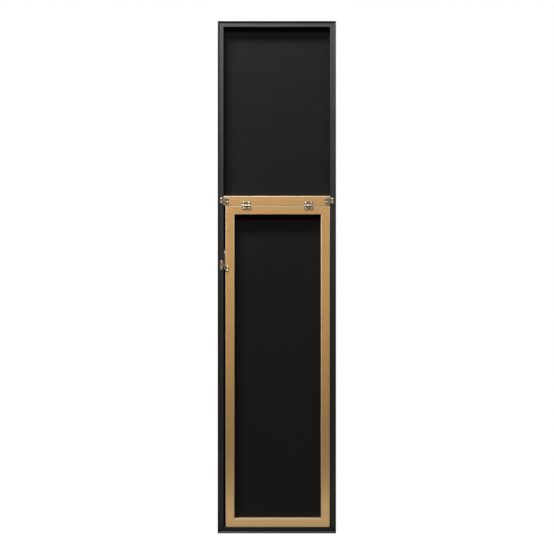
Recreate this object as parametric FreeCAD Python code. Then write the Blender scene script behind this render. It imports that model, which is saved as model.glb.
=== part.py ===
import FreeCAD, Part
import math
import os

os.makedirs("parts", exist_ok=True)

V = FreeCAD.Vector

# Easel-back floor mirror, in millimetres, folded for carrying.
# Z is up, the glass faces -Y, and the origin is the middle of the face it stands on.
# Left and right are as seen from the front, facing the glass, so right is +X.

# Frame moulding: widths run in from the outer edge, levels run back from the front face
FRAME_HEIGHT = 1524.0
FRAME_WIDTH = 352.0
LIP_EDGE = 0.8               # flat crest of the raised lip round the back
LIP_WIDTH = 6.0              # crest and bevel together
LIP_RISE = 2.6
LIP_ROUND = 0.5              # outer edge of the crest
WALL = 17.2                  # moulding seen from the back
SHELF = 6.0                  # step that the back panel lies on
SIGHT_LIP = 4.5              # part of the moulding that covers the edge of the glass
SIGHT_LIP_THICKNESS = 5.0
SIGHT_BEVEL = 1.5
FRONT_ROUND = 2.5
REAR_EDGE_ROUND = 0.8
RECESS_DEPTH = 20.0          # from the moulding's flat back to the back panel

# Glass and back panel
GLASS_THICKNESS = 4.0
GLASS_TO_PANEL = 0.3
PANEL_THICKNESS = 3.0
SHEET_EDGE_ROOM = 0.6        # play of glass and panel in their rebates

# Cross rail and leg, all from the same bar
BAR_THICKNESS = 18.0
BAR_ROUND = 1.5              # rear edges
BAR_FRONT_ROUND = 1.0
CROSS_RAIL_HEIGHT = 28.0
CROSS_RAIL_END_ROOM = 0.3
LEG_BAR_WIDTH = 26.0
LEG_SIDE_GAP = 1.3           # beside the left stile
LEG_FOOT_GAP = 1.0           # above the frame's bottom rail
LEG_OPEN_ANGLE = 20.0

# Butt hinges
HINGE_HEIGHT = 975.2         # of the pins
HINGE_SPACING = 184.8
HINGE_SEAM = 0.8             # between cross rail and leg
HINGE_LENGTH = 25.4
HINGE_REACH = 12.7           # from the pin to a leaf's edge
HINGE_SHEET = 1.2
HINGE_CORNER_ROUND = 1.5
HINGE_PIN_RADIUS = 1.1
HINGE_PIN_ROOM = 0.05
KNUCKLES = 3
KNUCKLE_GAP = 0.3
HINGE_SCREW_SPACING = 15.5
HINGE_SCREW_REACH = 8.4      # from the pin to the screws

# Joining plates across the ends of the cross rail
PLATE_SHEET = 1.5
PLATE_HOLES_ACROSS = 18.0
PLATE_HOLES_UP = 10.5
PLATE_MARGIN = 4.2           # from a hole to the plate's edge
PLATE_CORNER_ROUND = 2.0
PLATE_LIP_GAP = 0.3          # from the foot of the frame's lip bevel

# Pan-head screws
SCREW_RADIUS = 1.45
SCREW_SIDES = 8              # of the shank, which stands for the thread
SCREW_LENGTH = 13.0
SCREW_HEAD_RADIUS = 2.9
SCREW_HEAD_HEIGHT = 1.9
SCREW_HOLE_ROOM = 0.25

# Corner nails: angle strips across the mitres, sunk below the surface
NAIL_SHEET = 0.8
NAIL_LEG = 6.0
NAIL_LENGTH = 10.0
NAIL_SUNK = 2.0
FRAME_NAIL_INSET = 8.5       # from the outer edges to the nail's corner
LEG_NAIL_INSETS = (5.0, 13.0)

# Points that hold the back panel: thin blades driven into the frame's wall, flat on the panel
POINT_SHEET = 0.5
POINT_WIDTH = 5.5
POINT_OUT = 6.5              # on the panel
POINT_IN = 8.5               # in the wall
POINT_NOSE = 3.0             # tapered part of the driven end
POINTS_UP = 8
POINTS_ACROSS = 2
POINT_END_MARGIN = 60.0      # from the frame's outer edge to the first point

# Folding stay beside the right of the leg: flat arms between two eared brackets
STAY_DROP = 177.2            # from the hinge pins down to the frame pivot
LEG_PIVOT_DROP = 11.2        # from the frame pivot down to the leg pivot
STAY_DEPTH = 5.0             # from the moulding's flat back in to the pivots
FRAME_ARM = 36.5
STAY_SHEET = 1.2
STAY_RUN_GAP = 0.3           # between parts that turn on each other
EAR_WALL_GAP = 0.2
EAR_LEG_GAP = 0.4
EAR_RADIUS = 6.0
BEND_ROUND = 1.6
ARM_WIDTH = 8.0
ARM_NOSE = 3.0               # of the frame arm, past the elbow
PEG_RADIUS = 1.0
PEG_ROOM = 0.5               # to the leg arm's round end
PEG_STOP_GAP = 0.3           # to the leg arm's edge when the leg is open
RIVET_RADIUS = 1.6
RIVET_ROOM = 0.05
RIVET_HEAD_RADIUS = 2.9
RIVET_HEAD_HEIGHT = 1.0
FLANGE_ROUND = 2.0
FRAME_FLANGE_WIDTH = 9.5
FRAME_FLANGE_HEIGHT = 29.0
FRAME_FLANGE_LIP_GAP = 0.4
FRAME_FLANGE_SCREWS = 18.0   # apart
LEG_FLANGE_WIDTH = 9.5
LEG_FLANGE_HEIGHT = 17.0
LEG_FLANGE_SCREWS = 9.0      # apart

MITRE_MARGIN = 1.0           # by which a mitring block outgrows its bar

# Levels of the moulding and where they lie
SHELF_LEVEL = SIGHT_LIP_THICKNESS + GLASS_THICKNESS + GLASS_TO_PANEL
REAR_LEVEL = SHELF_LEVEL + PANEL_THICKNESS + RECESS_DEPTH
FRAME_DEPTH = REAR_LEVEL + LIP_RISE
FRONT_WIDTH = WALL + SHELF + SIGHT_LIP
FRAME_FRONT = -FRAME_DEPTH / 2
REAR = FRAME_FRONT + REAR_LEVEL
PANEL_BACK = FRAME_FRONT + SHELF_LEVEL + PANEL_THICKNESS
RECESS_SIDE = FRAME_WIDTH / 2 - WALL
FRAME_RECTANGLE = (-FRAME_WIDTH / 2, FRAME_WIDTH / 2, 0.0, FRAME_HEIGHT)

# Layers of the stay, each by its face nearest the leg, and the leg that fits beside them
STAY_STEP = STAY_SHEET + STAY_RUN_GAP
FRAME_EAR_X = RECESS_SIDE - EAR_WALL_GAP - STAY_SHEET
FRAME_ARM_X = FRAME_EAR_X - STAY_STEP
LEG_ARM_X = FRAME_ARM_X - STAY_STEP
LEG_EAR_X = LEG_ARM_X - STAY_STEP
LEG_RIGHT = LEG_EAR_X - EAR_LEG_GAP
LEG_LEFT = LEG_SIDE_GAP - RECESS_SIDE
LEG_TOP = HINGE_HEIGHT - HINGE_SEAM / 2
LEG_RECTANGLE = (LEG_LEFT, LEG_RIGHT, WALL + LEG_FOOT_GAP, LEG_TOP)
LEG_FRONT = REAR - BAR_THICKNESS
CROSS_RAIL_BOTTOM = HINGE_HEIGHT + HINGE_SEAM / 2

# Hinge axis and the stay's pivots
KNUCKLE_RADIUS = HINGE_PIN_RADIUS + HINGE_PIN_ROOM + HINGE_SHEET
KNUCKLE_PITCH = HINGE_LENGTH / KNUCKLES
HINGE_AXIS_Y = REAR + KNUCKLE_RADIUS
PIVOT_Y = REAR - STAY_DEPTH
FRAME_PIVOT_Z = HINGE_HEIGHT - STAY_DROP
LEG_PIVOT_Z = FRAME_PIVOT_Z - LEG_PIVOT_DROP
ELBOW_Z = FRAME_PIVOT_Z + FRAME_ARM
LEG_ARM = FRAME_ARM + LEG_PIVOT_DROP


def outline_face(steps, place):
    """The flat face inside an outline; a step is a point, or the middle and end points of an arc."""
    edges = []
    here = place(*steps[0])
    for step in steps[1:] + steps[:1]:
        if isinstance(step[0], tuple):
            middle, end = (place(*point) for point in step)
            edges.append(Part.Arc(here, middle, end).toShape())
        else:
            end = place(*step)
            if not end.isEqual(here, 1e-7):
                edges.append(Part.LineSegment(here, end).toShape())
        here = end
    return Part.Face(Part.Wire(edges))


def rounded(corner, arrive, leave, radius):
    """Steps that round a square corner reached along one direction and left along another."""
    (a, b), (arrive_a, arrive_b), (leave_a, leave_b) = corner, arrive, leave
    inset = radius * (1 - math.sqrt(0.5))
    start = (a - radius * arrive_a, b - radius * arrive_b)
    middle = (a - inset * (arrive_a - leave_a), b - inset * (arrive_b - leave_b))
    end = (a + radius * leave_a, b + radius * leave_b)
    return [start, (middle, end)]


def rounded_rectangle(a0, a1, b0, b1, radius):
    """Steps of a rectangle with four round corners."""
    return [
        *rounded((a0, b0), (-1, 0), (0, 1), radius),
        *rounded((a0, b1), (0, 1), (1, 0), radius),
        *rounded((a1, b1), (1, 0), (0, -1), radius),
        *rounded((a1, b0), (0, -1), (-1, 0), radius),
    ]


def bored(shape, centres, radius, axis):
    """The shape with a round hole right through it at each centre."""
    reach = FRAME_DEPTH
    drills = [Part.makeCylinder(radius, 2 * reach, centre - axis * reach, axis) for centre in centres]
    return shape.cut(drills)


def spaced(first, last, count):
    """Evenly spaced positions from first to last."""
    return [first + (last - first) * i / (count - 1) for i in range(count)]


# Mitred rectangles: the frame and the leg

def mitre_block(start, end, reach):
    """A block over one bar whose slanted ends are the bar's mitre planes."""
    def on_mitre(corner, inset):
        x, z, inward_x, inward_z = corner
        return x + inward_x * inset, z + inward_z * inset

    outside, inside = -MITRE_MARGIN, reach + MITRE_MARGIN
    trapezium = [
        on_mitre(start, outside),
        on_mitre(end, outside),
        on_mitre(end, inside),
        on_mitre(start, inside),
    ]
    return outline_face(trapezium, lambda x, z: V(x, -FRAME_DEPTH, z)).extrude(V(0, 2 * FRAME_DEPTH, 0))


def corners(rectangle):
    """The rectangle's corners, each with the directions that lead inward from it."""
    left, right, bottom, top = rectangle
    return (left, bottom, 1, 1), (left, top, 1, -1), (right, bottom, -1, 1), (right, top, -1, -1)


def mitred_bars(section, reach, rectangle, front):
    """The four bars of a mitred rectangle; the section starts at its outer edge and its front face."""
    left, right, bottom, top = rectangle
    left_bottom, left_top, right_bottom, right_top = corners(rectangle)
    tall, wide = V(0, 0, top - bottom), V(right - left, 0, 0)
    runs = {
        "left_stile": (lambda u, v: V(left + u, front + v, bottom), tall, left_bottom, left_top),
        "right_stile": (lambda u, v: V(right - u, front + v, bottom), tall, right_bottom, right_top),
        "bottom_rail": (lambda u, v: V(left, front + v, bottom + u), wide, left_bottom, right_bottom),
        "top_rail": (lambda u, v: V(left, front + v, top - u), wide, left_top, right_top),
    }
    bars = {}
    for name, (place, run, start, end) in runs.items():
        stick = outline_face(section, place).extrude(run)
        bars[name] = stick.common(mitre_block(start, end, reach))
    return bars


def corner_nails(rectangle, insets, rear):
    """Angle nails across the four mitres, a leg in each bar, ending below the rear face."""
    nails = []
    for x, z, inward_x, inward_z in corners(rectangle):
        for inset in insets:
            angle = [
                (0, 0),
                (NAIL_LEG, 0),
                (NAIL_LEG, NAIL_SHEET),
                (NAIL_SHEET, NAIL_SHEET),
                (NAIL_SHEET, NAIL_LEG),
                (0, NAIL_LEG),
            ]
            face = outline_face(
                angle,
                lambda a, b: V(x + inward_x * (inset + a), rear - NAIL_SUNK, z + inward_z * (inset + b)),
            )
            nails.append(face.extrude(V(0, -NAIL_LENGTH, 0)))
    return nails


def moulding_section():
    """The frame's section: in from the outer edge, back from the front face."""
    return [
        (FRONT_WIDTH - SIGHT_BEVEL, 0),
        *rounded((0, 0), (-1, 0), (0, 1), FRONT_ROUND),
        *rounded((0, FRAME_DEPTH), (0, 1), (1, 0), LIP_ROUND),
        (LIP_EDGE, FRAME_DEPTH),
        (LIP_WIDTH, REAR_LEVEL),
        *rounded((WALL, REAR_LEVEL), (1, 0), (0, -1), REAR_EDGE_ROUND),
        (WALL, SHELF_LEVEL),
        (WALL + SHELF, SHELF_LEVEL),
        (WALL + SHELF, SIGHT_LIP_THICKNESS),
        (FRONT_WIDTH, SIGHT_LIP_THICKNESS),
        (FRONT_WIDTH, SIGHT_BEVEL),
    ]


def bar_section(width):
    """A gold bar's section: in from one edge, back from its front face; the rear edges are round."""
    return [
        *rounded((0, 0), (-1, 0), (0, 1), BAR_FRONT_ROUND),
        *rounded((0, BAR_THICKNESS), (0, 1), (1, 0), BAR_ROUND),
        *rounded((width, BAR_THICKNESS), (1, 0), (0, -1), BAR_ROUND),
        *rounded((width, 0), (0, -1), (-1, 0), BAR_FRONT_ROUND),
    ]


# Fasteners

def screw_shank(radius, seat):
    """A many-sided shank that runs toward the front from a seat."""
    turn = 2 * math.pi / SCREW_SIDES
    outline = [(radius * math.cos(i * turn), radius * math.sin(i * turn)) for i in range(SCREW_SIDES)]
    return outline_face(outline, lambda a, b: seat + V(a, 0, b)).extrude(V(0, -SCREW_LENGTH, 0))


def screw(seat):
    """A screw driven toward the front, its head on the seat."""
    head = Part.makeCylinder(SCREW_HEAD_RADIUS, SCREW_HEAD_HEIGHT, seat, V(0, 1, 0))
    return screw_shank(SCREW_RADIUS, seat).fuse(head)


def drilled(shape, seats):
    """The shape with a clearance hole for the screw at each seat."""
    return shape.cut([screw_shank(SCREW_RADIUS + SCREW_HOLE_ROOM, seat) for seat in seats])


def panel_point(x, z, into_x, into_z):
    """A flat point on the back panel, driven into the wall at a place on its face."""
    half = POINT_WIDTH / 2
    blade = [
        (-POINT_OUT, -half),
        (-POINT_OUT, half),
        (POINT_IN - POINT_NOSE, half),
        (POINT_IN, 0),
        (POINT_IN - POINT_NOSE, -half),
    ]
    face = outline_face(
        blade,
        lambda along, across: V(
            x + into_x * along + into_z * across, PANEL_BACK, z + into_z * along + into_x * across
        ),
    )
    return face.extrude(V(0, POINT_SHEET, 0))


def panel_points():
    """Points spaced along all four sides."""
    points = []
    for z in spaced(POINT_END_MARGIN, FRAME_HEIGHT - POINT_END_MARGIN, POINTS_UP):
        points += [panel_point(-RECESS_SIDE, z, -1, 0), panel_point(RECESS_SIDE, z, 1, 0)]
    for x in spaced(POINT_END_MARGIN - FRAME_WIDTH / 2, FRAME_WIDTH / 2 - POINT_END_MARGIN, POINTS_ACROSS):
        points += [panel_point(x, WALL, 0, -1), panel_point(x, FRAME_HEIGHT - WALL, 0, 1)]
    return points


# Sheets inside the frame

def sheet(inset, front, thickness):
    """A flat sheet inset from the frame's outer edges."""
    width, height = FRAME_WIDTH - 2 * inset, FRAME_HEIGHT - 2 * inset
    return Part.makeBox(width, thickness, height, V(-width / 2, front, inset))


def mirror_glass():
    return sheet(WALL + SHELF + SHEET_EDGE_ROOM, FRAME_FRONT + SIGHT_LIP_THICKNESS, GLASS_THICKNESS)


def back_panel():
    return sheet(WALL + SHEET_EDGE_ROOM, FRAME_FRONT + SHELF_LEVEL, PANEL_THICKNESS)


# Cross rail and its joining plates

def cross_rail():
    half = RECESS_SIDE - CROSS_RAIL_END_ROOM
    section = bar_section(CROSS_RAIL_HEIGHT)
    face = outline_face(section, lambda u, v: V(-half, LEG_FRONT + v, CROSS_RAIL_BOTTOM + u))
    return face.extrude(V(2 * half, 0, 0))


def joining_plate(side):
    """One plate and its screw seats; side is -1 on the left and 1 on the right."""
    half_width = PLATE_HOLES_ACROSS / 2 + PLATE_MARGIN
    half_height = PLATE_HOLES_UP / 2 + PLATE_MARGIN
    centre = side * (FRAME_WIDTH / 2 - LIP_WIDTH - PLATE_LIP_GAP - half_width)
    middle = CROSS_RAIL_BOTTOM + CROSS_RAIL_HEIGHT / 2
    outline = rounded_rectangle(-half_width, half_width, -half_height, half_height, PLATE_CORNER_ROUND)
    plate = outline_face(outline, lambda a, b: V(centre + a, REAR, middle + b)).extrude(V(0, PLATE_SHEET, 0))
    seats = [
        V(centre + a * PLATE_HOLES_ACROSS / 2, REAR + PLATE_SHEET, middle + b * PLATE_HOLES_UP / 2)
        for a in (-1, 1)
        for b in (-1, 1)
    ]
    return drilled(plate, seats), seats


# Hinges

def hinge_leaf(centre, side, knuckles):
    """One leaf and its screw seats; side is 1 for the leaf above the pin, -1 for the one below."""
    end = centre - HINGE_LENGTH / 2

    def place(along, away):
        return V(end + along, REAR, HINGE_HEIGHT + side * away)

    root = KNUCKLE_RADIUS + KNUCKLE_GAP
    outline = [
        (0, root),
        *rounded((0, HINGE_REACH), (0, 1), (1, 0), HINGE_CORNER_ROUND),
        *rounded((HINGE_LENGTH, HINGE_REACH), (1, 0), (0, -1), HINGE_CORNER_ROUND),
        (HINGE_LENGTH, root),
    ]
    leaf = outline_face(outline, place).extrude(V(0, HINGE_SHEET, 0))
    length = KNUCKLE_PITCH - KNUCKLE_GAP
    for knuckle in knuckles:
        start = knuckle * KNUCKLE_PITCH + KNUCKLE_GAP / 2
        axis_point = V(end + start, HINGE_AXIS_Y, HINGE_HEIGHT)
        barrel = Part.makeCylinder(KNUCKLE_RADIUS, length, axis_point, V(1, 0, 0))
        strap = [(start, 0), (start, root), (start + length, root), (start + length, 0)]
        leaf = leaf.fuse([barrel, outline_face(strap, place).extrude(V(0, HINGE_SHEET, 0))])
    pin_place = V(centre, HINGE_AXIS_Y, HINGE_HEIGHT)
    leaf = bored(leaf, [pin_place], HINGE_PIN_RADIUS + HINGE_PIN_ROOM, V(1, 0, 0))
    screw_level = HINGE_HEIGHT + side * HINGE_SCREW_REACH
    half_spacing = HINGE_SCREW_SPACING / 2
    seats = [V(centre + hand * half_spacing, REAR + HINGE_SHEET, screw_level) for hand in (-1, 1)]
    return drilled(leaf, seats).removeSplitter(), seats


def hinge_pin(centre):
    return Part.makeCylinder(
        HINGE_PIN_RADIUS, HINGE_LENGTH, V(centre - HINGE_LENGTH / 2, HINGE_AXIS_Y, HINGE_HEIGHT), V(1, 0, 0)
    )


# Folding stay

def stay_angles(opening):
    """How far the frame arm turns, and how far the elbow opens, when the leg is open by an angle."""
    turn = math.radians(opening)
    y, z = PIVOT_Y - HINGE_AXIS_Y, LEG_PIVOT_Z - HINGE_HEIGHT
    leg_pivot_y = HINGE_AXIS_Y + y * math.cos(turn) - z * math.sin(turn)
    leg_pivot_z = HINGE_HEIGHT + y * math.sin(turn) + z * math.cos(turn)
    across, up = leg_pivot_y - PIVOT_Y, leg_pivot_z - FRAME_PIVOT_Z
    span = math.hypot(across, up)
    at_frame = math.acos((FRAME_ARM ** 2 + span ** 2 - LEG_ARM ** 2) / (2 * FRAME_ARM * span))
    at_elbow = math.acos((FRAME_ARM ** 2 + LEG_ARM ** 2 - span ** 2) / (2 * FRAME_ARM * LEG_ARM))
    return math.degrees(math.atan2(up, across) + at_frame) - 90, math.degrees(at_elbow)


def eared_bracket(ear_x, toward, flange_start, flange_end, flange_height, screw_in, screws_apart, pivot_z):
    """A bracket and its screw seats: an ear along the arms, bent to a flange on the rear face.

    Flange distances run from the ear's free face, toward +X or -X.
    """
    low, high = pivot_z - EAR_RADIUS, pivot_z + EAR_RADIUS
    top = REAR + STAY_SHEET
    angle = [
        (0, PIVOT_Y - EAR_RADIUS),
        *rounded((0, top), (0, 1), (1, 0), BEND_ROUND),
        (flange_end, top),
        (flange_end, REAR),
        (STAY_SHEET, REAR),
        (STAY_SHEET, PIVOT_Y - EAR_RADIUS),
    ]
    bracket = outline_face(angle, lambda a, y: V(ear_x + toward * a, y, low)).extrude(V(0, 0, high - low))
    half = flange_height / 2
    ear_end = [
        (PIVOT_Y, low),
        ((PIVOT_Y - EAR_RADIUS, pivot_z), (PIVOT_Y, high)),
        (top, high),
        (top, low),
    ]
    reach = flange_end * toward
    kept = outline_face(ear_end, lambda y, z: V(ear_x, y, z)).extrude(V(reach, 0, 0))
    bracket = bracket.common(kept)
    outline = rounded_rectangle(flange_start, flange_end, pivot_z - half, pivot_z + half, FLANGE_ROUND)
    flange = outline_face(outline, lambda a, z: V(ear_x + toward * a, REAR, z)).extrude(V(0, STAY_SHEET, 0))
    bracket = bracket.fuse(flange).removeSplitter()
    seats = [V(ear_x + toward * screw_in, top, pivot_z + b * screws_apart / 2) for b in (-1, 1)]
    return bored(drilled(bracket, seats), [V(ear_x, PIVOT_Y, pivot_z)], RIVET_RADIUS, V(1, 0, 0)), seats


def frame_bracket():
    end = FRAME_WIDTH / 2 - LIP_WIDTH - FRAME_FLANGE_LIP_GAP - FRAME_EAR_X
    start = end - FRAME_FLANGE_WIDTH
    middle = (start + end) / 2
    return eared_bracket(
        FRAME_EAR_X, 1, start, end, FRAME_FLANGE_HEIGHT, middle, FRAME_FLANGE_SCREWS, FRAME_PIVOT_Z
    )


def leg_bracket():
    start = STAY_SHEET + EAR_LEG_GAP
    end = start + LEG_FLANGE_WIDTH
    middle = (start + BAR_ROUND + end) / 2
    ear_x = LEG_EAR_X + STAY_SHEET
    return eared_bracket(
        ear_x, -1, start, end, LEG_FLANGE_HEIGHT, middle, LEG_FLANGE_SCREWS, LEG_PIVOT_Z
    )


def stay_arm(x, low, high, tight_z, running_z):
    """A flat arm with round ends, a hole that grips its rivet and one that runs on another."""
    half = ARM_WIDTH / 2
    outline = [
        (PIVOT_Y - half, low),
        (PIVOT_Y - half, high),
        ((PIVOT_Y, high + half), (PIVOT_Y + half, high)),
        (PIVOT_Y + half, low),
        ((PIVOT_Y, low - half), (PIVOT_Y - half, low)),
    ]
    arm = outline_face(outline, lambda y, z: V(x, y, z)).extrude(V(STAY_SHEET, 0, 0))
    arm = bored(arm, [V(x, PIVOT_Y, tight_z)], RIVET_RADIUS, V(1, 0, 0))
    return bored(arm, [V(x, PIVOT_Y, running_z)], RIVET_RADIUS + RIVET_ROOM, V(1, 0, 0))


def frame_arm():
    """The arm on the frame; a peg past the elbow stops the leg arm when the leg is open."""
    arm = stay_arm(FRAME_ARM_X, FRAME_PIVOT_Z, ELBOW_Z + ARM_NOSE, ELBOW_Z, FRAME_PIVOT_Z)
    edge = ARM_WIDTH / 2 + PEG_RADIUS
    reach = edge + PEG_ROOM
    direction = math.radians(stay_angles(LEG_OPEN_ANGLE)[1]) + math.asin((edge + PEG_STOP_GAP) / reach)
    peg_y = PIVOT_Y + reach * math.sin(direction)
    peg_z = ELBOW_Z - reach * math.cos(direction)
    peg = Part.makeCylinder(PEG_RADIUS, STAY_STEP, V(LEG_ARM_X, peg_y, peg_z), V(1, 0, 0))
    return arm.fuse(peg).removeSplitter()


def leg_arm():
    return stay_arm(LEG_ARM_X, LEG_PIVOT_Z, ELBOW_Z, LEG_PIVOT_Z, ELBOW_Z)


def rivet(x0, x1, z, heads):
    """A rivet along X between two faces, with a head on each side named in heads."""
    shank = Part.makeCylinder(RIVET_RADIUS, x1 - x0, V(x0, PIVOT_Y, z), V(1, 0, 0))
    sides = {"inner": (x0, V(-1, 0, 0)), "outer": (x1, V(1, 0, 0))}
    for head in heads:
        x, axis = sides[head]
        shank = shank.fuse(Part.makeCylinder(RIVET_HEAD_RADIUS, RIVET_HEAD_HEIGHT, V(x, PIVOT_Y, z), axis))
    return shank


# Assembly

nodes = {}
frame = mitred_bars(moulding_section(), FRONT_WIDTH, FRAME_RECTANGLE, FRAME_FRONT)
leg = mitred_bars(bar_section(LEG_BAR_WIDTH), LEG_BAR_WIDTH, LEG_RECTANGLE, LEG_FRONT)
frame_nails = corner_nails(FRAME_RECTANGLE, [FRAME_NAIL_INSET], REAR)
leg_nails = corner_nails(LEG_RECTANGLE, LEG_NAIL_INSETS, REAR)
points = panel_points()

nodes["joining_plate_left"], left_seats = joining_plate(-1)
nodes["joining_plate_right"], right_seats = joining_plate(1)
plate_screws = [screw(seat) for seat in left_seats + right_seats]

leg_middle = (LEG_LEFT + LEG_RIGHT) / 2
fixed_screws = []
moving_screws = []
for name, centre in (("left", leg_middle - HINGE_SPACING / 2), ("right", leg_middle + HINGE_SPACING / 2)):
    nodes[f"hinge_{name}_fixed_leaf"], seats = hinge_leaf(centre, 1, range(0, KNUCKLES, 2))
    fixed_screws += [screw(seat) for seat in seats]
    nodes[f"hinge_{name}_moving_leaf"], seats = hinge_leaf(centre, -1, range(1, KNUCKLES, 2))
    moving_screws += [screw(seat) for seat in seats]
    nodes[f"hinge_{name}_pin"] = hinge_pin(centre)

nodes["stay_frame_bracket"], seats = frame_bracket()
frame_bracket_screws = [screw(seat) for seat in seats]
nodes["stay_leg_bracket"], seats = leg_bracket()
leg_bracket_screws = [screw(seat) for seat in seats]
nodes["stay_frame_arm"] = frame_arm()
nodes["stay_leg_arm"] = leg_arm()
nodes["stay_frame_rivet"] = rivet(FRAME_ARM_X, FRAME_EAR_X + STAY_SHEET, FRAME_PIVOT_Z, ())
nodes["stay_elbow_rivet"] = rivet(
    LEG_ARM_X - RIVET_ROOM, FRAME_ARM_X + STAY_SHEET, ELBOW_Z, ("inner", "outer")
)
nodes["stay_leg_rivet_head"] = rivet(LEG_ARM_X, LEG_ARM_X + STAY_SHEET, LEG_PIVOT_Z, ("outer",))
nodes["stay_leg_rivet_stub"] = rivet(LEG_EAR_X, LEG_EAR_X + STAY_SHEET, LEG_PIVOT_Z, ())

for name, bar in frame.items():
    nodes[f"frame_{name}"] = bar.cut(frame_nails + points + plate_screws + frame_bracket_screws)
for name, bar in leg.items():
    nodes[f"leg_{name}"] = bar.cut(leg_nails + moving_screws + leg_bracket_screws)
nodes["cross_rail"] = cross_rail().cut(plate_screws + fixed_screws)
nodes["mirror_glass"] = mirror_glass()
nodes["back_panel"] = back_panel()

groups = {
    "frame_corner_nails": frame_nails,
    "leg_corner_nails": leg_nails,
    "panel_points": points,
    "joining_plate_screws": plate_screws,
    "hinge_fixed_screws": fixed_screws,
    "hinge_moving_screws": moving_screws,
    "stay_frame_screws": frame_bracket_screws,
    "stay_leg_screws": leg_bracket_screws,
}
for name, solids in groups.items():
    nodes[name] = Part.makeCompound(solids)

for name, shape in nodes.items():
    shape.exportStep(f"parts/{name}.step")

arm_turn, elbow_turn = stay_angles(LEG_OPEN_ANGLE)
print(f"hinge axis y {HINGE_AXIS_Y:.3f} z {HINGE_HEIGHT:.3f}, leg opens {LEG_OPEN_ANGLE:.1f}")
print(f"frame pivot y {PIVOT_Y:.3f} z {FRAME_PIVOT_Z:.3f}, arm turns {arm_turn:.4f}")
print(f"elbow z {ELBOW_Z:.3f}, opens {elbow_turn:.4f}; leg pivot z {LEG_PIVOT_Z:.3f}")
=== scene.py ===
import bmesh
import bpy
import math
from mathutils import Matrix, Vector


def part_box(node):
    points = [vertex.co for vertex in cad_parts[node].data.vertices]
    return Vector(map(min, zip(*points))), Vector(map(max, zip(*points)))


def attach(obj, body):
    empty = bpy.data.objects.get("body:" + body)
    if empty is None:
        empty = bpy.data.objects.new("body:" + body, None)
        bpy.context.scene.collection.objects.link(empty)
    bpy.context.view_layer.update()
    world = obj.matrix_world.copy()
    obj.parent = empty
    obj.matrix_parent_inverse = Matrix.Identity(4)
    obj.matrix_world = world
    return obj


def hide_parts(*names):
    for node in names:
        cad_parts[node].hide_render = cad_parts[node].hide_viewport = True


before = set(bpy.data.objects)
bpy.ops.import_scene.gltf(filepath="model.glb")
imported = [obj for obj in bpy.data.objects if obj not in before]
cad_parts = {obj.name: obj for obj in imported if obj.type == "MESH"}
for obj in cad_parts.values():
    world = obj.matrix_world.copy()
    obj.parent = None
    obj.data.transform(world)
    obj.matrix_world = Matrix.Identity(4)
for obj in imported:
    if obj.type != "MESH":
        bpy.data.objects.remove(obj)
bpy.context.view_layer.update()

# Frame
# Four lengths of wood moulding with a raised lip round the back, mitred and glued at the corners.
# They were primed, sanded along their length and sprayed with satin black lacquer.

MM = 0.001
X_AXIS, Y_AXIS, Z_AXIS = range(3)
LACQUERED_EDGE = 0.25 * MM
SHARP_ANGLE = math.radians(40)
# Points this close are one point, and edges this short are slivers that the rounding leaves.
SAME_POINT = 0.001 * MM
SLIVER = 0.01 * MM
# A mix node names its inputs for numbers and for colours alike, so here they go by number,
# and so does its mixed colour.
NUMBER_A, NUMBER_B, COLOUR_A, COLOUR_B = 2, 3, 6, 7
MIXED_COLOUR = 2


def linear(hex_colour):
    """An sRGB hex colour as linear RGBA."""
    channels = [int(hex_colour[i:i + 2], 16) / 255 for i in (1, 3, 5)]
    return [c / 12.92 if c <= 0.04045 else ((c + 0.055) / 1.055) ** 2.4 for c in channels] + [1.0]


def add(tree, kind, settings=None, links=None):
    """A node with its settings (properties by name, inputs by number or socket name) and linked inputs."""
    node = tree.nodes.new(kind)
    for key, value in (settings or {}).items():
        if isinstance(key, str) and hasattr(node, key):
            setattr(node, key, value)
        else:
            node.inputs[key].default_value = value
    for key, output in (links or {}).items():
        tree.links.new(output, node.inputs[key])
    return node


def finish_material(name, settings):
    """A new material with its tree, its shader and the coordinates of the piece in metres."""
    material = bpy.data.materials.new(name)
    material.use_nodes = True
    tree = material.node_tree
    shader = tree.nodes["Principled BSDF"]
    for key, value in settings.items():
        shader.inputs[key].default_value = value
    place = add(tree, "ShaderNodeTexCoord").outputs["Object"]
    return material, tree, shader, place


def along_bar(axis, across_mm, along_mm):
    """Noise scale per metre for marks of one size across a bar and another along it."""
    scale = [1 / (across_mm * MM)] * 3
    scale[axis] = 1 / (along_mm * MM)
    return scale


def uneven(tree, shader, pattern, colours, roughness):
    """Lets a pattern vary a finish between two hex colours and between a smoother and a rougher surface."""
    low, high = [linear(colour) for colour in colours]
    tones = {"data_type": "RGBA", COLOUR_A: low, COLOUR_B: high}
    colour = add(tree, "ShaderNodeMix", tones, {"Factor": pattern.outputs[0]})
    smooth, rough = roughness
    sheen = {"To Min": smooth, "To Max": rough}
    gloss = add(tree, "ShaderNodeMapRange", sheen, {"Value": pattern.outputs[0]})
    tree.links.new(colour.outputs[MIXED_COLOUR], shader.inputs["Base Color"])
    tree.links.new(gloss.outputs[0], shader.inputs["Roughness"])


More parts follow.
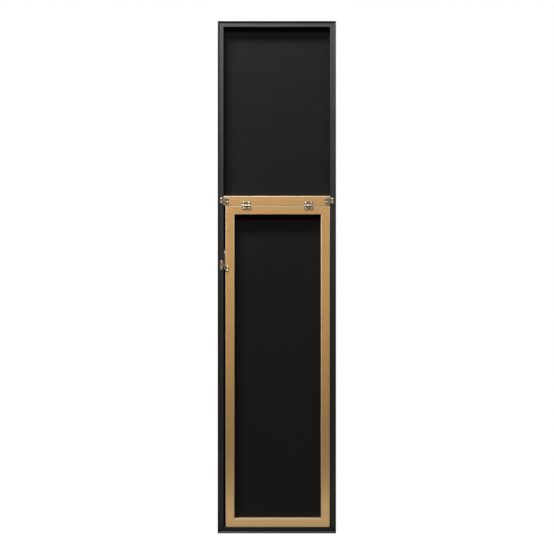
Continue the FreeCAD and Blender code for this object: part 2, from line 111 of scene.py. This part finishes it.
def black_lacquer(name, axis):
    """Sprayed satin lacquer: a deep black with a soft sheen, faint sanding lines and an uneven spray."""
    material, tree, shader, place = finish_material(name, {"IOR": 1.5})
    spray = add(tree, "ShaderNodeTexNoise", {"Scale": 1 / (45 * MM), "Detail": 4.0}, {"Vector": place})
    uneven(tree, shader, spray, colours=("#101011", "#141415"), roughness=(0.46, 0.58))
    # The sanding lines are drawn several times wider than grit leaves them, so that they show.
    sanding = along_bar(axis, across_mm=1.6, along_mm=160)
    sanded = add(tree, "ShaderNodeMapping", {"Scale": sanding}, {"Vector": place})
    lines = add(tree, "ShaderNodeTexNoise", {"Scale": 1.0, "Detail": 3.0}, {"Vector": sanded.outputs[0]})
    peel = add(tree, "ShaderNodeTexNoise", {"Scale": 1 / (1.5 * MM), "Detail": 2.0}, {"Vector": place})
    both = {NUMBER_A: lines.outputs[0], NUMBER_B: peel.outputs[0]}
    relief = add(tree, "ShaderNodeMix", {"Factor": 0.4}, both)
    faint = {"Strength": 0.12, "Distance": 0.1 * MM}
    bump = add(tree, "ShaderNodeBump", faint, {"Height": relief.outputs[0]})
    tree.links.new(bump.outputs[0], shader.inputs["Normal"])
    return material


def dress(material, *names):
    """Gives CAD nodes their finish."""
    for name in names:
        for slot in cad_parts[name].material_slots:
            slot.material = material


def soften(width, *names):
    """Rounds the sharp edges of CAD nodes a little, as sanding and lacquer or tumbling and plating do."""
    for name in names:
        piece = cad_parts[name]
        weld = piece.modifiers.new("weld", "WELD")
        weld.merge_threshold = SAME_POINT
        edges = piece.modifiers.new("edges", "BEVEL")
        edges.width = width
        edges.segments = 2
        edges.limit_method = "ANGLE"
        edges.angle_limit = SHARP_ANGLE
        edges.use_clamp_overlap = False
        # Sliding along the short edges of a round would draw out spikes at the mitres.
        edges.loop_slide = False
        edges.harden_normals = True
        tidy = piece.modifiers.new("tidy", "WELD")
        tidy.merge_threshold = SLIVER


frame_stiles = ("frame_left_stile", "frame_right_stile")
frame_rails = ("frame_top_rail", "frame_bottom_rail")
dress(black_lacquer("satin_black_lacquer_upright", Z_AXIS), *frame_stiles)
dress(black_lacquer("satin_black_lacquer_level", X_AXIS), *frame_rails)
soften(LACQUERED_EDGE, *frame_stiles, *frame_rails)

# Corner nails
# Folded strips of bare rolled steel, one across each mitre of the frame and of the leg.
# They were driven in from behind, sunk below the surface and filled over before the wood was finished.


def bare_steel():
    """Rolled strip as it comes from the coil: grey metal with fine streaks."""
    material, tree, shader, place = finish_material("rolled_bare_steel", {"Metallic": 1.0})
    # The rolling streaks are drawn coarser than real ones, so that they show.
    rolling = along_bar(Y_AXIS, across_mm=0.4, along_mm=12)
    rolled = add(tree, "ShaderNodeMapping", {"Scale": rolling}, {"Vector": place})
    streaks = add(tree, "ShaderNodeTexNoise", {"Scale": 1.0, "Detail": 3.0}, {"Vector": rolled.outputs[0]})
    uneven(tree, shader, streaks, colours=("#7d7c7a", "#a3a19c"), roughness=(0.3, 0.5))
    return material


dress(bare_steel(), "frame_corner_nails", "leg_corner_nails")

# Mirror glass
# A sheet of float glass, cut to size and silvered on its back.
# It lies in the frame's front rebate, against the lip round the opening.


def silvered_glass():
    """Silvered float glass: a clear, slightly green reflection under a few faint wiping marks."""
    settings = {"Metallic": 1.0, "Base Color": linear("#eef3f0")}
    material, tree, shader, place = finish_material("silvered_float_glass", settings)
    wiping = {"Scale": 1 / (180 * MM), "Detail": 5.0, "Distortion": 1.5}
    wipes = add(tree, "ShaderNodeTexNoise", wiping, {"Vector": place})
    haze = {"From Min": 0.45, "From Max": 0.8, "To Min": 0.01, "To Max": 0.05}
    gloss = add(tree, "ShaderNodeMapRange", haze, {"Value": wipes.outputs[0]})
    tree.links.new(gloss.outputs[0], shader.inputs["Roughness"])
    return material


dress(silvered_glass(), "mirror_glass")

# Back panel
# A thin sheet of hardboard, rolled with matt black paint.
# It lies on a shelf of the frame's rear recess and covers the back of the glass.


def black_board():
    """Matt painted hardboard: nearly black and a little warm, with soft handling marks and a fine tooth."""
    settings = {"IOR": 1.45, "Specular IOR Level": 0.015}
    material, tree, shader, place = finish_material("matt_black_painted_hardboard", settings)
    handling = along_bar(Z_AXIS, across_mm=40, along_mm=160)
    handled = add(tree, "ShaderNodeMapping", {"Scale": handling}, {"Vector": place})
    smudges = {"Scale": 1.0, "Detail": 6.0, "Distortion": 0.8}
    marks = add(tree, "ShaderNodeTexNoise", smudges, {"Vector": handled.outputs[0]})
    uneven(tree, shader, marks, colours=("#1a1a19", "#1e1e1d"), roughness=(0.62, 0.78))
    tooth = add(tree, "ShaderNodeTexNoise", {"Scale": 1 / (0.9 * MM), "Detail": 2.0}, {"Vector": place})
    stipple = {"Strength": 0.15, "Distance": 0.1 * MM}
    bump = add(tree, "ShaderNodeBump", stipple, {"Height": tooth.outputs[0]})
    tree.links.new(bump.outputs[0], shader.inputs["Normal"])
    return material


dress(black_board(), "back_panel")

# Panel points
# Thin blades of steel strip with a black oxide coat.
# They were driven sideways into the frame's wall and lie flat on the panel's edge to hold it.


def black_coated_steel():
    """Oxide-blackened steel strip: nearly black and dull, with paler rubbed patches."""
    settings = {"Metallic": 0.4, "Specular IOR Level": 0.1}
    material, tree, shader, place = finish_material("blackened_steel_strip", settings)
    rubbed = add(tree, "ShaderNodeTexNoise", {"Scale": 1 / (3 * MM), "Detail": 3.0}, {"Vector": place})
    uneven(tree, shader, rubbed, colours=("#0c0c0c", "#161515"), roughness=(0.6, 0.75))
    return material


dress(black_coated_steel(), "panel_points")

# Cross rail and leg
# Wood bars with rounded rear edges: the rail stands between the stiles and the leg is a mitred rectangle.
# Both were brushed along their length with a metallic gold lacquer.


def gold_lacquer(name, axis):
    """Brushed metallic gold lacquer: a satin champagne gold with warmer streaks, and rough edges painted
    pale as a highlight.
    """
    material, tree, shader, place = finish_material(name, {"Metallic": 0.8})
    # The brush marks are drawn several times wider than bristles leave them, so that they show.
    brushing = along_bar(axis, across_mm=2.2, along_mm=190)
    brushed = add(tree, "ShaderNodeMapping", {"Scale": brushing}, {"Vector": place})
    brush = add(tree, "ShaderNodeTexNoise", {"Scale": 1.0, "Detail": 4.0}, {"Vector": brushed.outputs[0]})
    pooled = add(tree, "ShaderNodeTexNoise", {"Scale": 1 / (60 * MM), "Detail": 3.0}, {"Vector": place})
    both = {NUMBER_A: brush.outputs[0], NUMBER_B: pooled.outputs[0]}
    blend = add(tree, "ShaderNodeMix", {"Factor": 0.35}, both)
    contrast = {"From Min": 0.3, "From Max": 0.7}
    streaks = add(tree, "ShaderNodeMapRange", contrast, {"Value": blend.outputs[0]})
    tones = {"data_type": "RGBA", COLOUR_A: linear("#eec58b"), COLOUR_B: linear("#f9ce92")}
    gold = add(tree, "ShaderNodeMix", tones, {"Factor": streaks.outputs[0]})
    gloss = add(tree, "ShaderNodeMapRange", {"To Min": 0.25, "To Max": 0.35}, {"Value": brush.outputs[0]})
    # Where the surface turns from the rear to a side, the edges are painted pale, a painted highlight, and
    # made rougher.
    facing = add(tree, "ShaderNodeSeparateXYZ", links={0: place.node.outputs["Normal"]})
    turning = add(tree, "ShaderNodeMath", {"operation": "PINGPONG", 1: 0.5}, {0: facing.outputs["Y"]})
    rounds = {"From Min": 0.005, "From Max": 0.07}
    painted_highlight_rim = add(tree, "ShaderNodeMapRange", rounds, {"Value": turning.outputs[0]})
    # A painted highlight: this pale colour is laid over the gold on the turning edges.
    pale_rim_highlight_colour = {"data_type": "RGBA", COLOUR_B: linear("#d9cfbf")}
    over_gold = {"Factor": painted_highlight_rim.outputs[0], COLOUR_A: gold.outputs[MIXED_COLOUR]}
    colour = add(tree, "ShaderNodeMix", pale_rim_highlight_colour, over_gold)
    over_gloss = {"Factor": painted_highlight_rim.outputs[0], NUMBER_A: gloss.outputs[0]}
    dulled = add(tree, "ShaderNodeMix", {NUMBER_B: 0.85}, over_gloss)
    ridges = {"Strength": 0.1, "Distance": 0.1 * MM}
    bump = add(tree, "ShaderNodeBump", ridges, {"Height": brush.outputs[0]})
    tree.links.new(colour.outputs[MIXED_COLOUR], shader.inputs["Base Color"])
    tree.links.new(dulled.outputs[0], shader.inputs["Roughness"])
    tree.links.new(bump.outputs[0], shader.inputs["Normal"])
    return material


gold_rails = ("cross_rail", "leg_top_rail", "leg_bottom_rail")
gold_stiles = ("leg_left_stile", "leg_right_stile")
dress(gold_lacquer("brushed_gold_lacquer_level", X_AXIS), *gold_rails)
dress(gold_lacquer("brushed_gold_lacquer_upright", Z_AXIS), *gold_stiles)
soften(LACQUERED_EDGE, *gold_rails, *gold_stiles)

# Joining plates
# Flat plates of pressed steel sheet with four holes, barrel-plated with nickel.
# Each is screwed across the joint between an end of the cross rail and a stile.

PRESSED_EDGE = 0.2 * MM


def nickel_plate(name, low, high):
    """Barrel-plated nickel: a warm grey metal with a slightly clouded shine."""
    material, tree, shader, place = finish_material(name, {"Metallic": 1.0})
    cloud = add(tree, "ShaderNodeTexNoise", {"Scale": 1 / (2.5 * MM), "Detail": 3.0}, {"Vector": place})
    uneven(tree, shader, cloud, colours=(low, high), roughness=(0.24, 0.36))
    return material


# A darker copy of the nickel for the sheet pieces: painted shade.
shaded_nickel_sheet = nickel_plate("nickel_sheet_with_painted_shade", "#9d988a", "#bab3a5")
joining_plates = ("joining_plate_left", "joining_plate_right")
dress(shaded_nickel_sheet, *joining_plates)
soften(PRESSED_EDGE, *joining_plates)

# Hinges
# Butt hinges of the same plated sheet, whose two leaves have knuckles rolled round a steel pin.
# One leaf is screwed to the cross rail and the other to the leg, which swings on them.

LEAF_EDGE = 0.15 * MM
for hand in ("left", "right"):
    leaves = (f"hinge_{hand}_fixed_leaf", f"hinge_{hand}_moving_leaf")
    dress(shaded_nickel_sheet, *leaves, f"hinge_{hand}_pin")
    soften(LEAF_EDGE, *leaves)

# Folding stay
# Two bent brackets and two flat arms of the same plated sheet, joined by rivets.
# One bracket is screwed to the frame and one to the leg, and the stay stops the leg when it is open.

stay_sheet = ("stay_frame_bracket", "stay_leg_bracket", "stay_frame_arm", "stay_leg_arm")
dress(shaded_nickel_sheet, *stay_sheet, "stay_frame_rivet", "stay_leg_rivet_stub")
soften(PRESSED_EDGE, *stay_sheet)

# Screws
# Round-headed wood screws with a cross recess, headed and rolled from steel wire and nickel plated.
# They hold the plates, the hinge leaves and the stay's brackets, each turned as the driver left it.

SCREW_SIDES = 20
SCREW_LENGTH = 13 * MM
SCREW_POINT = 3 * MM
SCREW_CORE = 1.0 * MM
THREAD_HEIGHT = 0.45 * MM
THREAD_PITCH = 1.1 * MM
THREAD_STEP = THREAD_PITCH / 2
SCREW_HEAD_RADIUS = 2.9 * MM
SCREW_HEAD_HEIGHT = 1.9 * MM
RECESS_REACH = 1.6 * MM
RECESS_HALF_WIDTH = 0.4 * MM
RECESS_DEPTH = 1.2 * MM
# The recess is cut from just above the crown, and its floor is this share of its mouth.
RECESS_MOUTH = 1.05 * SCREW_HEAD_HEIGHT
RECESS_FLOOR = 0.45
# Shares of the head's radius and height, from its rim to its crown.
DOME = [(0.94, 0.0), (1.0, 0.1), (1.0, 0.26), (0.95, 0.52), (0.82, 0.76), (0.6, 0.92), (0.32, 1.0)]
SMOOTH_ANGLE = math.radians(38)
# Degrees that the first screw of a group is turned, and each next one further than the one before.
FIRST_TURN = 25
NEXT_TURN = 67
SCREW_GROUPS = {
    "joining_plate_screws": "mirror",
    "hinge_fixed_screws": "mirror",
    "hinge_moving_screws": "leg",
    "stay_frame_screws": "mirror",
    "stay_leg_screws": "leg",
}


def turned(rows):
    """A closed mesh about the Y axis from rows of a height and a radius for each side."""
    shape = bmesh.new()
    rings = []
    for height, radii in rows:
        turn = math.tau / len(radii)
        ring = [(r * math.cos(i * turn), height, r * math.sin(i * turn)) for i, r in enumerate(radii)]
        rings.append([shape.verts.new(point) for point in ring])
    for lower, upper in zip(rings, rings[1:]):
        for i in range(len(lower)):
            shape.faces.new((lower[i - 1], upper[i - 1], upper[i], lower[i]))
    shape.faces.new(rings[0])
    shape.faces.new(reversed(rings[-1]))
    bmesh.ops.recalc_face_normals(shape, faces=shape.faces)
    return shape


def to_mesh(name, shape):
    """Turns a bmesh into a mesh with smooth rounds and sharp edges."""
    mesh = bpy.data.meshes.new(name)
    shape.to_mesh(mesh)
    shape.free()
    mesh.shade_smooth()
    mesh.set_sharp_from_angle(angle=SMOOTH_ANGLE)
    return mesh


def thread_row(depth):
    """One row of the shank, whose thread climbs a pitch in each turn and runs out at the point."""
    taper = min(1.0, (SCREW_LENGTH - depth + THREAD_HEIGHT) / SCREW_POINT)
    phases = [(depth / THREAD_PITCH + side / SCREW_SIDES) % 1 for side in range(SCREW_SIDES)]
    return -depth, [taper * (SCREW_CORE + THREAD_HEIGHT * abs(2 * phase - 1)) for phase in phases]


def cross_recess():
    """The driver's cross as a solid, narrower at its floor and just through the crown."""
    arm = [
        (RECESS_REACH, -RECESS_HALF_WIDTH),
        (RECESS_REACH, RECESS_HALF_WIDTH),
        (RECESS_HALF_WIDTH, RECESS_HALF_WIDTH),
    ]
    outline = [
        (x * math.cos(turn) - z * math.sin(turn), x * math.sin(turn) + z * math.cos(turn))
        for turn in (0, math.pi / 2, math.pi, 3 * math.pi / 2) for x, z in arm
    ]
    shape = bmesh.new()
    floor_level = SCREW_HEAD_HEIGHT - RECESS_DEPTH
    top = [shape.verts.new((x, RECESS_MOUTH, z)) for x, z in outline]
    bottom = [shape.verts.new((x * RECESS_FLOOR, floor_level, z * RECESS_FLOOR)) for x, z in outline]
    shape.faces.new(top)
    shape.faces.new(reversed(bottom))
    for i in range(len(top)):
        shape.faces.new((top[i - 1], bottom[i - 1], bottom[i], top[i]))
    bmesh.ops.recalc_face_normals(shape, faces=shape.faces)
    return shape


def cut(mesh, cutter_mesh):
    """The mesh with the cutter's shape taken out of it."""
    blank = bpy.data.objects.new("blank", mesh)
    cutter = bpy.data.objects.new("cutter", cutter_mesh)
    for item in (blank, cutter):
        bpy.context.scene.collection.objects.link(item)
    recess = blank.modifiers.new("recess", "BOOLEAN")
    recess.object = cutter
    recess.solver = "EXACT"
    result = bpy.data.meshes.new_from_object(blank.evaluated_get(bpy.context.evaluated_depsgraph_get()))
    for item in (blank, cutter):
        bpy.data.objects.remove(item)
    return result


def loose_boxes(node):
    """The lowest, then the highest corner of each separate solid in a CAD node, to the micrometre."""
    shape = bmesh.new()
    shape.from_mesh(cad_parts[node].data)
    bmesh.ops.remove_doubles(shape, verts=shape.verts, dist=SAME_POINT)
    waiting = set(shape.verts)
    boxes = []
    while waiting:
        growing = [waiting.pop()]
        points = []
        while growing:
            vert = growing.pop()
            points.append(vert.co.copy())
            beside = {edge.other_vert(vert) for edge in vert.link_edges} & waiting
            waiting -= beside
            growing += beside
        axes = list(zip(*points))
        corners = [min(values) for values in axes] + [max(values) for values in axes]
        boxes.append([round(value, 6) for value in corners])
    shape.free()
    return sorted(boxes)


def hardware_piece(name, shape, node, body):
    """A new nickel-plated piece that stands for a CAD node on its body."""
    mesh = to_mesh(name, shape)
    mesh.materials.append(highlighted_nickel_wire)
    piece = bpy.data.objects.new(name, mesh)
    bpy.context.scene.collection.objects.link(piece)
    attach(piece, body)
    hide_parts(node)


# The screws and rivets get a paler copy of the nickel, a painted highlight; the sheet pieces get a darker
# one, a painted shade.
highlighted_nickel_wire = nickel_plate("nickel_wire_with_painted_highlight", "#c6c2b8", "#d9d5cb")
shank_rows = [thread_row(SCREW_LENGTH - k * THREAD_STEP) for k in range(int(SCREW_LENGTH / THREAD_STEP))]
head_rows = [(h * SCREW_HEAD_HEIGHT, [r * SCREW_HEAD_RADIUS] * SCREW_SIDES) for r, h in DOME]
blank_screw = to_mesh("blank_screw", turned(shank_rows + [thread_row(0)] + head_rows))
screw = cut(blank_screw, to_mesh("cross_recess", cross_recess()))
for group, body in SCREW_GROUPS.items():
    shape = bmesh.new()
    for number, (x0, y0, z0, x1, y1, z1) in enumerate(loose_boxes(group)):
        place = Matrix.Translation(((x0 + x1) / 2, y1 - SCREW_HEAD_HEIGHT, (z0 + z1) / 2))
        turned_screw = screw.copy()
        turn = Matrix.Rotation(math.radians(FIRST_TURN + NEXT_TURN * number), 4, "Y")
        turned_screw.transform(place @ turn)
        shape.from_mesh(turned_screw)
        bpy.data.meshes.remove(turned_screw)
    hardware_piece(group + "_cross_headed", shape, group, body)

# Rivets of the stay
# Solid steel rivets with rounded heads, nickel plated: the elbow, and the head of the pivot at the leg.
# They were set loosely enough for the arms to turn on them.

RIVET_RADIUS = 1.6 * MM
RIVET_HEAD_RADIUS = 2.9 * MM
RIVET_HEAD_HEIGHT = 1.0 * MM
RIVET_SIDES = 28


def rivet_head(level, outward):
    """Rows of a rounded head on a face at one level, from the face outward."""
    radii = [[r * RIVET_HEAD_RADIUS] * RIVET_SIDES for r, h in DOME]
    levels = [level + outward * h * RIVET_HEAD_HEIGHT for r, h in DOME]
    return list(zip(levels, radii))


for node, body, heads in (("stay_elbow_rivet", "frame_arm", 2), ("stay_leg_rivet_head", "leg_arm", 1)):
    low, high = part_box(node)
    length = high[0] - low[0]
    inner_face = RIVET_HEAD_HEIGHT if heads == 2 else 0
    outer_face = length - RIVET_HEAD_HEIGHT
    rows = [(inner_face, [RIVET_RADIUS] * RIVET_SIDES), (outer_face, [RIVET_RADIUS] * RIVET_SIDES)]
    rows += rivet_head(outer_face, 1)
    if heads == 2:
        rows = rivet_head(inner_face, -1)[::-1] + rows
    shape = turned(rows)
    place = Matrix.Translation((low[0], (low[1] + high[1]) / 2, (low[2] + high[2]) / 2))
    bmesh.ops.transform(shape, matrix=place @ Matrix.Rotation(-math.pi / 2, 4, "Z"), verts=shape.verts)
    hardware_piece(node + "_domed", shape, node, body)

# Studio
# A white acrylic table, lit from below, with two softboxes close above the mirror's back and one before it.
# Lacquer and metal reflect more: pale paper and a pale wall in front, a dim lit strip behind the foot,
# and beyond the camera a dark room with a band of sunlit wood floor.

TABLE_HALF = 2.6
TABLE_LEVEL = -1 * MM
STRIP_HALF = 0.6
STRIP_NEAR = 0.07
STRIP_FAR = 0.6
TIMES = {"operation": "MULTIPLY"}


def flat_sheet(name, x_half, y_low, y_high, level, material):
    """A level rectangle of the stage."""
    mesh = bpy.data.meshes.new(name)
    outline = [(-x_half, y_low), (x_half, y_low), (x_half, y_high), (-x_half, y_high)]
    mesh.from_pydata([(x, y, level) for x, y in outline], [], [(0, 1, 2, 3)])
    mesh.materials.append(material)
    sheet = bpy.data.objects.new(name, mesh)
    bpy.context.scene.collection.objects.link(sheet)
    return sheet


def plain_sheet(name, low, high, glow):
    """Paper or lit acrylic: an even, matt tone with a faint cloud in it."""
    settings = {"Roughness": 0.9, "Emission Color": linear("#ffffff"), "Emission Strength": glow}
    material, tree, shader, place = finish_material(name, settings)
    cloud = add(tree, "ShaderNodeTexNoise", {"Scale": 1 / (250 * MM), "Detail": 3.0}, {"Vector": place})
    tones = {"data_type": "RGBA", COLOUR_A: linear(low), COLOUR_B: linear(high)}
    colour = add(tree, "ShaderNodeMix", tones, {"Factor": cloud.outputs[0]})
    tree.links.new(colour.outputs[MIXED_COLOUR], shader.inputs["Base Color"])
    return material


white_acrylic = plain_sheet("lit_white_acrylic", "#1c1c1c", "#202020", glow=1.0)
pale_paper = plain_sheet("pale_paper", "#dededc", "#e6e6e4", glow=0.0)
dim_acrylic = plain_sheet("dimly_lit_acrylic", "#1c1c1c", "#202020", glow=0.42)
# Only the camera sees the table; the paper and the strip light the mirror and stay out of its sight.
floor = flat_sheet("floor", TABLE_HALF, -TABLE_HALF, TABLE_HALF, TABLE_LEVEL, white_acrylic)
floor.visible_diffuse = False
floor.visible_glossy = False
bounce_front = flat_sheet("bounce_front", TABLE_HALF, -TABLE_HALF, 0.0, 0.0, pale_paper)
bounce_foot = flat_sheet("bounce_foot", STRIP_HALF, STRIP_NEAR, STRIP_FAR, 0.0, dim_acrylic)
for bounce in (bounce_front, bounce_foot):
    bounce.visible_camera = False

world = bpy.data.worlds.new("studio")
world.use_nodes = True
bpy.context.scene.world = world
sky = world.node_tree
sky.nodes.clear()
toward = add(sky, "ShaderNodeSeparateXYZ", links={0: add(sky, "ShaderNodeTexCoord").outputs["Generated"]})
# The wall is brightest straight in front and fades out toward the sides.
front = {"From Min": -0.9, "From Max": -0.3, "To Min": 0.7, "To Max": 0.05}
ahead = add(sky, "ShaderNodeMapRange", front, {"Value": toward.outputs["Y"]})
sides = {"From Min": -0.1, "From Max": 0.3, "To Min": 1.0, "To Max": 0.0}
beside = add(sky, "ShaderNodeMapRange", sides, {"Value": toward.outputs["Y"]})
wall = add(sky, "ShaderNodeMath", TIMES, {0: ahead.outputs[0], 1: beside.outputs[0]})
pale_wall = add(sky, "ShaderNodeBackground", {"Color": linear("#ffffff")}, {"Strength": wall.outputs[0]})
# The wood floor is far off, about level with the eye, and brightest straight behind the camera.
rear = {"From Min": 0.0, "From Max": 0.8, "To Min": 0.0, "To Max": 2.1}
behind = add(sky, "ShaderNodeMapRange", rear, {"Value": toward.outputs["Y"]})
rising = {"From Min": -0.04, "From Max": -0.02}
near_edge = add(sky, "ShaderNodeMapRange", rising, {"Value": toward.outputs["Z"]})
fading = {"From Min": 0.01, "From Max": 0.05, "To Min": 1.0, "To Max": 0.0}
far_edge = add(sky, "ShaderNodeMapRange", fading, {"Value": toward.outputs["Z"]})
band = add(sky, "ShaderNodeMath", TIMES, {0: near_edge.outputs[0], 1: far_edge.outputs[0]})
boards = add(sky, "ShaderNodeMath", TIMES, {0: band.outputs[0], 1: behind.outputs[0]})
wood_floor = add(sky, "ShaderNodeBackground", {"Color": linear("#ffe2ad")}, {"Strength": boards.outputs[0]})
# The camera itself sees plain white round the mirror.
lit = add(sky, "ShaderNodeAddShader", links={0: pale_wall.outputs[0], 1: wood_floor.outputs[0]})
seen = add(sky, "ShaderNodeBackground", {"Color": linear("#ffffff"), "Strength": 1.0})
ray = add(sky, "ShaderNodeLightPath").outputs["Is Camera Ray"]
mixed = add(sky, "ShaderNodeMixShader", links={0: ray, 1: lit.outputs[0], 2: seen.outputs[0]})
add(sky, "ShaderNodeOutputWorld", links={"Surface": mixed.outputs[0]})


def softbox(name, place, target, width, height, power):
    """A rectangular area light aimed at a point."""
    light = bpy.data.lights.new(name, "AREA")
    light.shape = "RECTANGLE"
    light.size = width
    light.size_y = height
    light.energy = power
    lamp = bpy.data.objects.new(name, light)
    lamp.location = place
    lamp.rotation_euler = (Vector(target) - Vector(place)).to_track_quat("-Z", "Y").to_euler()
    bpy.context.scene.collection.objects.link(lamp)


softbox("key_softbox", place=(0.75, 0.6, 2.7), target=(0.75, 0, 0.9), width=0.8, height=0.3, power=77)
softbox("fill_softbox", place=(-0.75, 0.6, 2.7), target=(-0.75, 0, 0.9), width=0.8, height=0.3, power=17)
softbox("rear_softbox", place=(0.4, 2.0, 2.6), target=(0, 0, 1.2), width=0.8, height=0.8, power=36)

# Camera
# Straight behind the mirror at half its height, as the photograph was taken.
# The view's width and distance are those at the flat back of the moulding.

VIEW_DISTANCE = 3.06
VIEW_HEIGHT = 0.7627
VIEW_WIDTH = 1.649
VIEW_ASIDE = -0.45 * MM
FLAT_BACK = 14.85 * MM
FILM_WIDTH = 36
camera_data = bpy.data.cameras.new("camera")
camera_data.sensor_width = FILM_WIDTH
camera_data.lens = FILM_WIDTH * VIEW_DISTANCE / VIEW_WIDTH
camera = bpy.data.objects.new("camera", camera_data)
camera.location = (VIEW_ASIDE, FLAT_BACK + VIEW_DISTANCE, VIEW_HEIGHT)
camera.rotation_euler = (math.pi / 2, 0, math.pi)
bpy.context.scene.collection.objects.link(camera)
bpy.context.scene.camera = camera
bpy.context.scene.view_settings.view_transform = "Standard"
